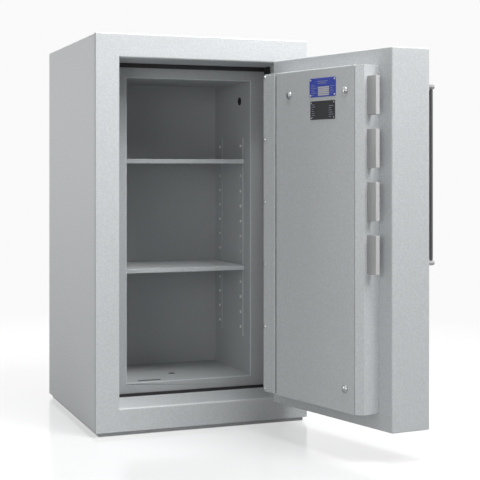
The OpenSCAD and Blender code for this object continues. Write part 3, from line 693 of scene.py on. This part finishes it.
# the strip behind each slot of a rail, with a small tab bent out of it where no shelf hides it; its light steel is
# partly a painted highlight for light caught by the slots
def makeSlotLinings(rail, inward):
    low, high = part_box(rail)
    wall, face = (low[0], high[0]) if inward > 0 else (high[0], low[0])
    middle = (low[1] + high[1]) / 2
    halfWidth, halfHeight = railSlots["width"] / 2, railSlots["height"] / 2
    halfTab = halfHeight * railSlots["tabShare"]
    linings = []
    for i in range(railSlots["count"]):
        z = low[2] + railSlots["firstUp"] + railSlots["pitch"] * i
        left, right = sorted((wall, wall + inward * railSlots["depth"]))
        linings.append(boxPiece("lining", (left, middle - halfWidth, z - halfHeight),
                                (right, middle + halfWidth, z + halfHeight)))
        if any(abs(z - level) < railSlots["shelfReach"] for level in shelfLevels):
            continue
        left, right = sorted((wall, face + inward * railSlots["tabReach"]))
        linings.append(boxPiece("tab", (left, middle + halfWidth - railSlots["tabThick"], z - halfTab),
                                (right, middle + halfWidth, z + halfTab)))
    obj = joinPieces(rail + "_linings", linings)
    roundEdges(obj, railSlots["edge"], 1)
    finishPiece(obj, "cabinet", "bright_steel", "slot_steel")


for name, inward in railNodes.items():
    makeSlotLinings(name, inward)

# the flat slotted cover near the front of the cavity's floor
floorCover = {
    "length": 0.078,
    "width": 0.012,
    "fromLeft": 0.0905,
    "fromFront": 0.0395,
    "rise": 0.0006,
    "sink": 0.0004,
    "endShare": 0.45,
    "edge": 0.0003,
}


def makeFloorCover():
    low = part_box("inner_liner")[0]
    x = low[0] + floorCover["fromLeft"]
    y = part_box("mouth_flange")[0][1] + floorCover["fromFront"]
    base = low[2] + linerWall
    halfLength, halfWidth = floorCover["length"] / 2, floorCover["width"] / 2
    cover = boxPiece("floorCover", (x - halfLength, y - halfWidth, base - floorCover["sink"]),
                     (x + halfLength, y + halfWidth, base + floorCover["rise"]))
    bevelEdges(cover, lambda a, b: abs(a.z - b.z) > near["point"], floorCover["width"] * floorCover["endShare"], 6)
    roundEdges(cover, floorCover["edge"], 2, 50.0)
    smoothFaces(cover)
    finishPiece(cover, "cabinet", "black_rubber")


makeFloorCover()
print("shelves made")


# ---------- door slab ----------

slab = {"edgeLand": 0.015, "edgeRadius": 0.0034, "segments": 4, "backReach": 0.004}


# the slab narrows towards its back, beyond a land that fits the frame
def makeSlab():
    low, high = closedBox("door_skin")
    taper = closedBox("door_back_plate")[0].x - low.x - slab["backReach"]
    obj = boxPiece("doorSlab", low, high)
    makeActive(obj)
    bpy.ops.object.mode_set(mode="EDIT")
    bpy.ops.mesh.select_all(action="SELECT")
    bpy.ops.mesh.bisect(plane_co=(0, low.y + slab["edgeLand"], 0), plane_no=(0, 1, 0))
    bpy.ops.object.mode_set(mode="OBJECT")
    selectEdges(obj, lambda a, b: max(a.x, b.x) < low.x + near["face"] and min(a.y, b.y) > high.y - near["face"])
    bpy.ops.transform.translate(value=(taper, 0, 0))
    bpy.ops.object.mode_set(mode="OBJECT")
    roundEdges(obj, slab["edgeRadius"], slab["segments"], 25.0)
    smoothFaces(obj)
    hangOnDoor(obj)
    finishPiece(obj, "door", "grey_paint", stands=("door_skin", "door_back_plate"))


makeSlab()
print("door slab made")


# ---------- bolt box ----------

boltBox = {
    "foldRadius": 0.0032,
    "lidEdge": 0.0014,
    "topEdge": 0.0034,
    "stripEdge": 0.0014,
    "stripRise": 0.0034,
    "lidGap": 0.0014,
    "stripGap": 0.0045,
    "lidReach": 0.0003,
    "boltEdge": 0.0012,
    "tipFacing": 0.8,
}
softenNode("bolt_box_frame", boltBox["foldRadius"], 3)


# the lid and the riveted strip stand apart by fine shadow gaps
def makeLid():
    low, high = closedBox("bolt_box_lid")
    lid = copyNode("bolt_box_lid", "boxLid")
    lid.data.transform(unswing)
    slideFaces(lid, lambda c, n: n.x < -near["square"] and c.x < low.x + near["face"], (boltBox["lidGap"], 0, 0))
    slideFaces(lid, lambda c, n: n.x > near["square"] and c.x > high.x - near["face"], (-boltBox["stripGap"], 0, 0))
    reach = boltBox["lidReach"]
    bevelEdges(lid, lambda a, b: min(a.y, b.y) > high.y - reach and min(a.z, b.z) > high.z - reach,
               boltBox["topEdge"], 5)
    roundEdges(lid, boltBox["lidEdge"], 3, 50.0)
    smoothFaces(lid)
    hangOnDoor(lid)
    finishPiece(lid, "door", "grey_paint", stands=("bolt_box_lid",))


# the strip stands a little proud, so that its rounded edge shows
def makeStrip():
    high = closedBox("hinge_side_strip")[1]
    strip = copyNode("hinge_side_strip", "hingeStrip")
    strip.data.transform(unswing)
    slideFaces(strip, lambda c, n: n.y > near["square"] and c.y > high.y - near["face"], (0, boltBox["stripRise"], 0))
    roundEdges(strip, boltBox["stripEdge"], 3)
    smoothFaces(strip)
    hangOnDoor(strip)
    finishPiece(strip, "door", "grey_paint", stands=("hinge_side_strip",))


makeLid()
makeStrip()

# the bolts' tip faces take a brighter steel: a painted highlight on the facet that faces the light
bolts = softenNode("locking_bolts", boltBox["boltEdge"], 3)
bolts.data.materials.append(materials["bolt_tip"])
for face in bolts.data.polygons:
    if (unswing.to_3x3() @ face.normal).x < -boltBox["tipFacing"]:
        face.material_index = 1
print("bolt box made")


# ---------- domed screws, rivets and plates ----------

screws = {
    "headRadius": 0.0118,
    "collar": 0.0018,
    "collarEdge": 0.0006,
    "capShare": 0.86,
    "capSeat": 0.9,
    "dome": 0.0065,
    "domeCut": 0.02,
    "rings": 24,
    "sides": 40,
}
rivet = {"radius": 0.0045, "rise": 0.003, "plateRadii": (0.0016, 0.0027), "rings": 16, "sides": 20}


# the boxes of a node's separate solids, with the door closed
def islandBoxes(node):
    bareCopy(node)
    bpy.ops.mesh.separate(type="LOOSE")
    bpy.ops.object.mode_set(mode="OBJECT")
    boxes = []
    for part in list(bpy.context.selected_objects):
        boxes.append(limitsOf([unswing @ v.co for v in part.data.vertices]))
        bpy.data.objects.remove(part)
    return boxes


# a dome on a face that looks along Y, cut from a ball
def domePiece(centre, face, radius, rise, sides, rings, cut=0.0):
    deselectAll()
    bpy.ops.mesh.primitive_uv_sphere_add(segments=sides, ring_count=rings, radius=1.0)
    dome = bpy.context.object
    bpy.ops.object.mode_set(mode="EDIT")
    bpy.ops.mesh.select_all(action="SELECT")
    bpy.ops.mesh.bisect(plane_co=(0, 0, cut), plane_no=(0, 0, 1), clear_inner=True, use_fill=True)
    bpy.ops.object.mode_set(mode="OBJECT")
    dome.scale = (radius, radius, rise)
    dome.rotation_euler = (-math.pi / 2, 0, 0)
    dome.location = (centre.x, face, centre.z)
    bpy.ops.object.transform_apply(location=True, rotation=True, scale=True)
    return dome


# a chrome cap screw: a thin collar with a domed cap on it
def makeCapScrew(low, high, face):
    centre = (low + high) / 2
    collar = discPiece("capScrew", (centre.x, face + screws["collar"] / 2, centre.z),
                       screws["headRadius"], screws["collar"], screws["sides"])
    roundEdges(collar, screws["collarEdge"], 2)
    seat = face + screws["collar"] * screws["capSeat"]
    cap = domePiece(centre, seat, screws["headRadius"] * screws["capShare"], min(screws["dome"], high.y - seat),
                    screws["sides"], screws["rings"], screws["domeCut"])
    return joinPieces("capScrew", [collar, cap])


# a small round-headed rivet standing on the given face
def makeRivet(low, high, face, radius, rise):
    return domePiece((low + high) / 2, face, radius, rise, rivet["sides"], rivet["rings"])


def finishHeads(obj, slot, look, stands):
    hangOnDoor(obj)
    smoothFaces(obj, 50.0)
    finishPiece(obj, "door", slot, look, (stands,))


boxFace = closedBox("bolt_box_lid")[1].y
caps = [makeCapScrew(low, high, boxFace) for low, high in islandBoxes("lid_screws")]
finishHeads(joinPieces("capScrews", caps), "chrome_screws", "chrome_screws", "lid_screws")
heads = [makeRivet(low, high, low.y + boltBox["stripRise"], rivet["radius"], rivet["rise"])
         for low, high in islandBoxes("strip_rivets")]
finishHeads(joinPieces("stripRivets", heads), "chrome_screws", "rivet_chrome", "strip_rivets")
upperPlateFoot = closedBox("rating_plate_upper")[0].z
heads = [makeRivet(low, high, low.y, rivet["plateRadii"][low.z > upperPlateFoot], high.y - low.y)
         for low, high in islandBoxes("plate_rivets")]
finishHeads(joinPieces("plateRivets", heads), "bright_steel", "slot_steel", "plate_rivets")

plate = {
    "edge": 0.0004,
    "lift": 0.00015,
    "sink": 0.0002,
    "barEdge": 0.00005,
    "field": (0.245, 0.67, 0.07, 0.56),
    "fieldRows": 5,
    "fieldFill": 0.78,
    "titleBars": [(0.30, 0.70, 0.80), (0.36, 0.66, 0.70)],
    "titleHeight": 0.035,
}
# each column of bars: left, right, lowest bar, number of bars
blueBars = {"columns": [(0.72, 0.94, 0.10, 7), (0.05, 0.20, 0.16, 5)], "pitch": 0.09, "height": 0.025,
            "least": 0.55, "lengths": (5, 3)}
darkBars = {"columns": [(0.80, 0.95, 0.10, 7), (0.05, 0.24, 0.12, 6)], "pitch": 0.115, "height": 0.03,
            "least": 0.5, "lengths": (7, 4)}
softenNode("rating_plate_upper", plate["edge"], 2)
softenNode("rating_plate_lower", plate["edge"], 2)


# a plain printed bar on a plate, given as shares of the plate's width and height
def printBar(node, left, right, bottom, top):
    low, high = closedBox(node)
    width, height = high.x - low.x, high.z - low.z
    return boxPiece("bar", (low.x + width * left, high.y - plate["sink"], low.z + height * bottom),
                    (low.x + width * right, high.y + plate["lift"], low.z + height * top))


def finishBars(name, bars, slot, look):
    obj = joinPieces(name, bars)
    roundEdges(obj, plate["barEdge"], 1)
    hangOnDoor(obj)
    finishPiece(obj, "door", slot, look)


# columns of bars of uneven length
def printColumns(node, bars):
    step, kinds = bars["lengths"]
    marks = []
    for left, right, z, rows in bars["columns"]:
        for i in range(rows):
            share = bars["least"] + (1 - bars["least"]) * ((i * step) % kinds) / (kinds - 1)
            marks.append(printBar(node, right - (right - left) * share, right, z + bars["pitch"] * i,
                                  z + bars["pitch"] * i + bars["height"]))
    return marks


def makePlateFields():
    left, right, bottom, top = plate["field"]
    step = (top - bottom) / plate["fieldRows"]
    field = [printBar("rating_plate_upper", left, right, bottom + step * i, bottom + step * (i + plate["fieldFill"]))
             for i in range(plate["fieldRows"])]
    finishBars("plateField", field, "blue_plate", "plate_field")
    marks = [printBar("rating_plate_upper", a, b, z, z + plate["titleHeight"]) for a, b, z in plate["titleBars"]]
    finishBars("blueMarks", marks + printColumns("rating_plate_upper", blueBars), "blue_plate", "plate_marks")
    finishBars("darkMarks", printColumns("rating_plate_lower", darkBars), "dark_plate", "plate_marks")


makePlateFields()
print("screws and plates made")


# ---------- pull bar ----------

pull = {"barEdge": 0.0035, "slim": 0.005, "postRim": 0.0015, "footRadius": 0.011, "footThickness": 0.003,
        "footEdge": 0.0008}


def makePull():
    low, high = closedBox("pull_bar")
    bar = boxPiece("pullBar", low + Vector((0, pull["slim"], 0)), high)
    roundEdges(bar, pull["barEdge"], 4)
    smoothFaces(bar)
    hangOnDoor(bar)
    finishPiece(bar, "door", "dark_bar", stands=("pull_bar",))
    posts = []
    for low, high in islandBoxes("pull_posts"):
        centre = (low + high) / 2
        radius = (high.z - low.z) / 2
        post = discPiece("pullPost", centre, radius, high.y - low.y)
        roundEdges(post, pull["postRim"], 3)
        foot = discPiece("pullFoot", (centre.x, high.y - pull["footThickness"] / 2, centre.z),
                         pull["footRadius"], pull["footThickness"])
        roundEdges(foot, pull["footEdge"], 2)
        posts += [post, foot]
    obj = joinPieces("pullPosts", posts)
    smoothFaces(obj)
    hangOnDoor(obj)
    finishPiece(obj, "door", "bright_steel", stands=("pull_posts",))


makePull()

# edge width and segments
fittingEdges = {
    "handle_lever": (0.003, 4),
    "handle_rose": (0.0012, 3),
    "key_rose": (0.0012, 3),
    "frame_knuckles": (0.001, 2),
    "door_knuckles": (0.001, 2),
}
for name, (width, segments) in fittingEdges.items():
    softenNode(name, width, segments)
print("fittings made")


# ---------- floor, light and camera ----------

stage = {
    "floorSize": 60.0,
    "floorColor": (0.38, 0.383, 0.386),
    "floorRoughness": (0.13, 0.2),
    "floorDrop": 0.0002,
    "floorLift": 0.50,
    "fadeStart": 0.9,
    "fadeEnd": 2.6,
    "ambient": 0.25,
    "backdrop": 0.955,
}
deselectAll()
bpy.ops.mesh.primitive_plane_add(size=stage["floorSize"], location=(0, 0, cadBox[0][2] - stage["floorDrop"]))
floor = bpy.context.object
floor.name = "floor"
floorMaterial, tree, shader, place = startMaterial("paleFloor", stage["floorColor"], stage["floorRoughness"][0],
                                                   Specular_IOR_Level=0.5,
                                                   Emission_Color=(1.0, 1.0, 1.0, 1.0))
tree.links.new(rangeNode(tree, noiseNode(tree, place, 1.5, 2.0), 0.3, 0.7, *stage["floorRoughness"]),
               shader.inputs["Roughness"])
rays = tree.nodes.new("ShaderNodeLightPath")
tree.links.new(mathNode(tree, "MULTIPLY", rays.outputs["Is Camera Ray"], stage["floorLift"]),
               shader.inputs["Emission Strength"])
reach = tree.nodes.new("ShaderNodeVectorMath")
reach.operation = "LENGTH"
tree.links.new(place, reach.inputs[0])
fade = rangeNode(tree, reach.outputs["Value"], stage["fadeStart"], stage["fadeEnd"], 0.0, 1.0)
sweep = tree.nodes.new("ShaderNodeEmission")
sweep.inputs["Strength"].default_value = stage["backdrop"]
blend = tree.nodes.new("ShaderNodeMixShader")
tree.links.new(mathNode(tree, "MULTIPLY", fade, rays.outputs["Is Camera Ray"]), blend.inputs[0])
tree.links.new(shader.outputs["BSDF"], blend.inputs[1])
tree.links.new(sweep.outputs["Emission"], blend.inputs[2])
tree.links.new(blend.outputs["Shader"], next(n for n in tree.nodes if n.type == "OUTPUT_MATERIAL").inputs["Surface"])
floor.data.materials.append(floorMaterial)

# the backdrop is seen and mirrored bright, while it lights the scene more softly
world = bpy.context.scene.world or bpy.data.worlds.new("studio")
bpy.context.scene.world = world
world.use_nodes = True
worldTree = world.node_tree
background = next(n for n in worldTree.nodes if n.type == "BACKGROUND")
background.inputs["Color"].default_value = (1.0, 1.0, 1.0, 1.0)
rays = worldTree.nodes.new("ShaderNodeLightPath")
seen = mathNode(worldTree, "MAXIMUM", rays.outputs["Is Camera Ray"], rays.outputs["Is Glossy Ray"])
worldTree.links.new(rangeNode(worldTree, seen, 0.0, 1.0, stage["ambient"], stage["backdrop"]),
                    background.inputs["Strength"])

lamps = [
    {"name": "keyBox", "place": (1.5, -2.7, 3.0), "aim": (0.0, -0.33, 0.9), "size": 1.5, "power": 52.0},
    {"name": "topBox", "place": (0.42, -1.35, 3.3), "aim": (0.1, -0.2, 0.6), "size": 1.4, "power": 86.0},
    {"name": "frontBox", "place": (-2.6, -3.4, 1.1), "aim": (0.0, -0.3, 0.5), "size": 1.6, "power": 24.0},
    {"name": "sideBox", "place": (-2.9, 2.4, 0.95), "aim": (-0.3, 0.0, 0.5), "size": 1.8, "power": 37.0},
]
for lamp in lamps:
    light = bpy.data.lights.new(lamp["name"], "AREA")
    light.size = lamp["size"]
    light.energy = lamp["power"]
    obj = bpy.data.objects.new(lamp["name"], light)
    bpy.context.scene.collection.objects.link(obj)
    obj.location = lamp["place"]
    obj.rotation_euler = (Vector(lamp["aim"]) - Vector(lamp["place"])).to_track_quat("-Z", "Y").to_euler()

view = {"place": (-1.1786, -3.5926, 0.792), "turn": 20.1, "lens": 85.15, "shift": (0.0625, -0.1458)}
cameraData = bpy.data.cameras.new("camera")
cameraData.lens = view["lens"]
cameraData.shift_x, cameraData.shift_y = view["shift"]
camera = bpy.data.objects.new("camera", cameraData)
bpy.context.scene.collection.objects.link(camera)
camera.location = view["place"]
camera.rotation_euler = (math.pi / 2, 0, -math.radians(view["turn"]))
bpy.context.scene.camera = camera
print("stage made")
